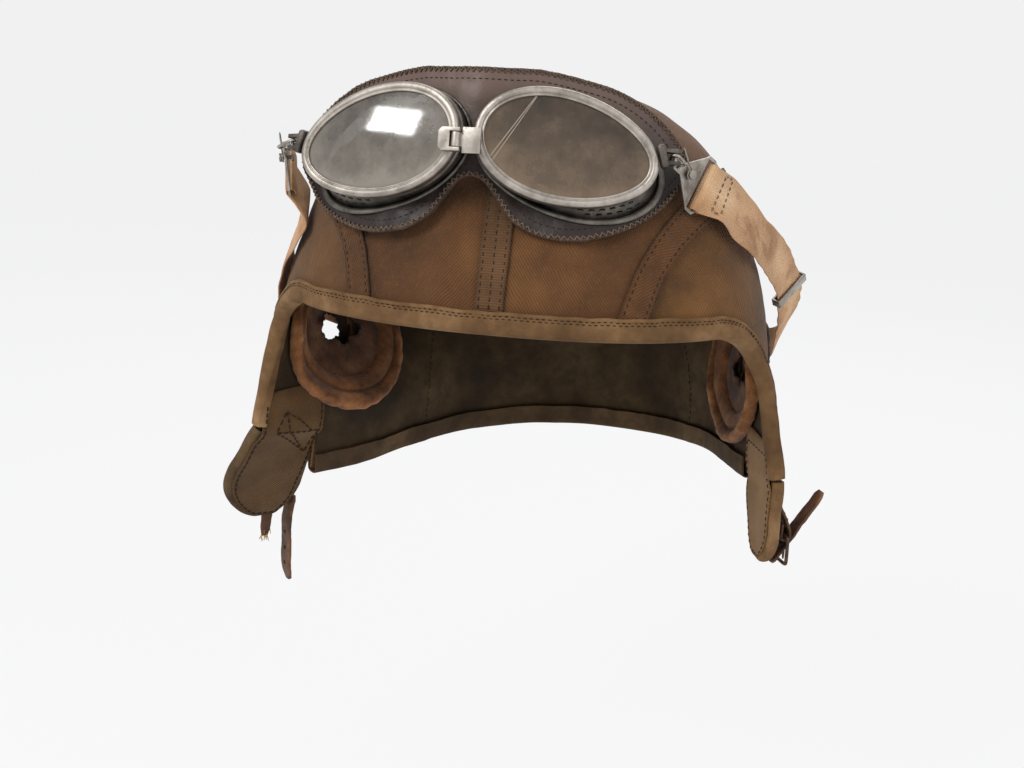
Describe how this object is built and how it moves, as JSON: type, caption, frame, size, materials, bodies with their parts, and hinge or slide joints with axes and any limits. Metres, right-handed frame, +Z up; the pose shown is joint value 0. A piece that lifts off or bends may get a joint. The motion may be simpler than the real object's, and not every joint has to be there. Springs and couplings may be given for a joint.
{
  "type": "flying helmet with goggles",
  "caption": "Cloth flying helmet with padded ear openings, chin flaps and a buckle, and framed goggles with an elastic strap pushed up on the brow.",
  "frame": {"origin": "top of the crown's outer cloth, on the helmet's middle plane, where the head lies under it", "axes": "+Z up, -Y to the front, +X to the viewer's right when the helmet faces the viewer"},
  "size_m": [0.284, 0.2157, 0.2613],
  "materials": {
    "twill": "worn khaki-brown cotton twill",
    "tape": "folded cotton tape, worn",
    "lining": "dark olive cotton lining",
    "chamois": "soft tan chamois",
    "brown_leather": "dull brown leather",
    "mask_leather": "dark worn leather",
    "cup_metal": "dull worn",
    "rim_metal": "worn satin",
    "dark_metal": "tarnished",
    "lens_glass": "scratched",
    "webbing": "faded elastic webbing",
    "buckle_metal": "worn plated"
  },
  "bodies": {
    "helmet": {"crown_panel_left": "twill", "crown_panel_right": "twill", "side_panel_left": "twill", "side_panel_right": "twill", "neck_curtain": "twill", "lining": "lining", "brow_binding": "tape", "neck_binding": "tape", "centre_tape": "tape", "seam_tape_left": "tape", "seam_tape_right": "tape", "ear_ring_left": "chamois", "ear_ring_right": "chamois", "ear_pad_left": "chamois", "ear_pad_right": "chamois", "ear_patch_left": "brown_leather", "ear_patch_right": "brown_leather", "strap_back": "webbing", "strap_adjuster": "buckle_metal"},
    "left_flap": {"left_flap": "twill", "left_flap_binding": "tape", "strap_stub": "brown_leather"},
    "chin_strap": {"chin_strap": "brown_leather"},
    "right_flap": {"right_flap": "twill", "right_flap_binding": "tape", "buckle_tab": "brown_leather"},
    "buckle": {"buckle_frame": "buckle_metal", "strap_end": "brown_leather"},
    "prong": {"buckle_prong": "buckle_metal"},
    "goggles": {"cup_right": "cup_metal", "rim_right": "rim_metal", "lens_right": "lens_glass", "base_ring_right": "cup_metal", "clamp_right": "dark_metal", "lug_pin_right": "dark_metal", "mask": "mask_leather", "bridge_plate": "rim_metal", "bridge_pin": "dark_metal", "strap_left": "webbing", "strap_right": "webbing"},
    "left_cup": {"cup_left": "cup_metal", "rim_left": "rim_metal", "lens_left": "lens_glass", "base_ring_left": "cup_metal", "clamp_left": "dark_metal", "lug_pin_left": "dark_metal", "bridge_yoke": "rim_metal"},
    "hook_right": {"link_right": "rim_metal", "hook_right": "rim_metal", "rivet_right": "dark_metal"},
    "keeper_right": {"keeper_right": "rim_metal"},
    "hook_left": {"link_left": "rim_metal", "hook_left": "rim_metal", "rivet_left": "dark_metal"},
    "keeper_left": {"keeper_left": "rim_metal"}
  },
  "joints": [
    {"name": "goggles_swing", "type": "hinge", "parent": "helmet", "child": "goggles", "pos_m": [0, 0.06, -0.14], "axis": [1, 0, 0], "range_deg": [0, 25], "deforming": ["strap_back", "strap_left", "strap_right"]},
    {"name": "bridge_fold", "type": "hinge", "parent": "goggles", "child": "left_cup", "pos_m": [-0.01631, -0.12172, -0.01671], "axis": [-0.0241, 0.2325, 0.9723], "range_deg": [0, 12], "deforming": ["mask", "strap_left"]},
    {"name": "hook_right_swing", "type": "hinge", "parent": "goggles", "child": "hook_right", "pos_m": [0.06941, -0.09716, -0.02017], "axis": [-0.0241, 0.2325, 0.9723], "range_deg": [-12, 12], "deforming": ["strap_right"]},
    {"name": "keeper_right_turn", "type": "hinge", "parent": "hook_right", "child": "keeper_right", "pos_m": [0.07418, -0.0884, -0.0273], "axis": [-0.7645, 0.6435, -0.0391], "range_deg": [0, 25]},
    {"name": "hook_left_swing", "type": "hinge", "parent": "left_cup", "child": "hook_left", "pos_m": [-0.09375, -0.0926, -0.0253], "axis": [-0.0241, 0.2325, 0.9723], "range_deg": [-12, 12], "deforming": ["strap_left"]},
    {"name": "keeper_left_turn", "type": "hinge", "parent": "hook_left", "child": "keeper_left", "pos_m": [-0.09985, -0.08247, -0.03303], "axis": [0.9693, 0.2225, 0.1045], "range_deg": [0, 25]},
    {"name": "left_flap_swing", "type": "hinge", "parent": "helmet", "child": "left_flap", "pos_m": [-0.11049, -0.04743, -0.1625], "axis": [0.7211, 0.6928, 0], "range_deg": [0, 25]},
    {"name": "chin_strap_swing", "type": "hinge", "parent": "left_flap", "child": "chin_strap", "pos_m": [-0.1152, -0.02421, -0.20803], "axis": [-0.6279, 0.6535, 0.4226], "range_deg": [-35, 14]},
    {"name": "right_flap_swing", "type": "hinge", "parent": "helmet", "child": "right_flap", "pos_m": [0.1181, -0.04491, -0.1625], "axis": [-0.4106, 0.9118, 0], "range_deg": [-30, 5]},
    {"name": "buckle_swing", "type": "hinge", "parent": "right_flap", "child": "buckle", "pos_m": [0.12628, -0.04237, -0.19186], "axis": [-0.4106, 0.9118, 0], "range_deg": [-25, 4]},
    {"name": "prong_swing", "type": "hinge", "parent": "buckle", "child": "prong", "pos_m": [0.12628, -0.04237, -0.19186], "axis": [-0.4106, 0.9118, 0], "range_deg": [-18, 0]}
  ]
}
